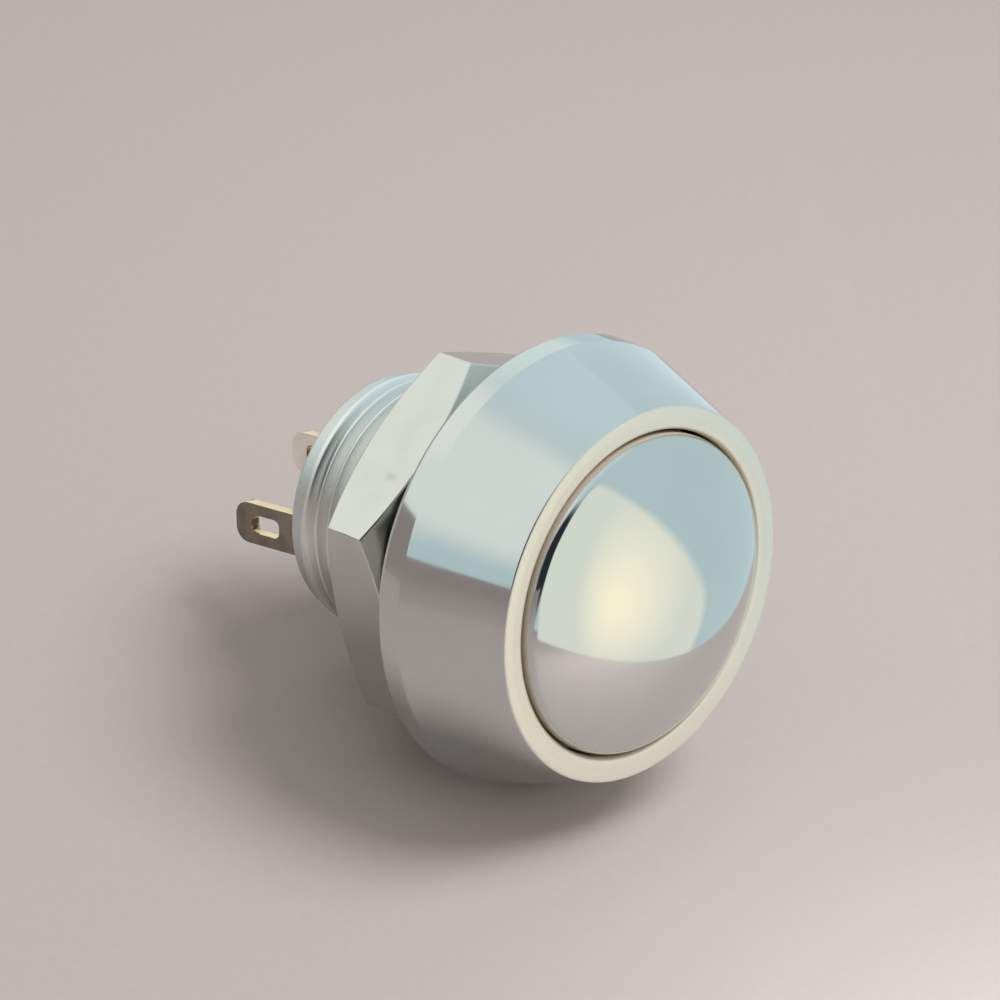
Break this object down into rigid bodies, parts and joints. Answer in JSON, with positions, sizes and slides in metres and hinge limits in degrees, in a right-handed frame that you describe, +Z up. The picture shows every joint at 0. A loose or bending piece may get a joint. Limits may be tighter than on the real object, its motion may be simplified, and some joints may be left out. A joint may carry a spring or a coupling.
{
  "type": "anti-vandal push button",
  "caption": "Panel push button with a mirror dome in a tapered bright metal bezel, on a threaded bush with a hexagon nut and slotted solder lugs at the rear.",
  "frame": {"origin": "on the button's axis, in the plane of the panel seat behind the bezel", "axes": "+Y along the bush towards the terminals, the button faces -Y, +Z up on an upright panel"},
  "size_m": [0.0204, 0.024, 0.0204],
  "materials": {
    "bright_plate": "bright nickel-chrome plate on turned brass",
    "mirror_plate": "mirror-polished plate",
    "nut_plate": "bright nickel plate",
    "rubber": "matte",
    "acetal": "satin moulded",
    "spring_wire": "drawn wire",
    "clip_steel": "phosphated",
    "moulding": "satin moulded",
    "contact_brass": "pressed sheet",
    "lug_brass": "silver-plated sheet with bare brass cut edges",
    "contact_silver": "silver"
  },
  "bodies": {
    "housing": {"bezel_body": "bright_plate", "panel_seal": "rubber", "stem_seal": "rubber", "guide_bush": "acetal", "return_spring": "spring_wire", "insulating_sleeve": "acetal", "terminal_base": "moulding", "outer_terminal": "lug_brass", "centre_terminal": "lug_brass", "ring_rivets": "contact_silver", "centre_contact": "contact_silver"},
    "button": {"push_button": "mirror_plate", "stem_washer": "acetal", "stem_clip": "clip_steel", "plunger": "moulding", "contact_spring": "spring_wire"},
    "moving_contact": {"contact_cup": "contact_brass"},
    "nut": {"hex_nut": "nut_plate"}
  },
  "joints": [
    {"name": "button_press", "type": "slide", "parent": "housing", "child": "button", "axis": [0, 1, 0], "range_m": [0, 0.0016], "stiffness_N_per_m": 1000, "springref_m": -0.002, "deforming": ["return_spring"]},
    {"name": "contact_float", "type": "slide", "parent": "button", "child": "moving_contact", "axis": [0, 1, 0], "range_m": [-0.0006, 0], "deforming": ["contact_spring"]},
    {"name": "nut_travel", "type": "slide", "parent": "housing", "child": "nut", "axis": [0, 1, 0], "range_m": [-0.0013, 0.0042]}
  ],
  "couplings": [
    {"joint": "contact_float", "follows": "button_press", "ratio": -0.375}
  ]
}
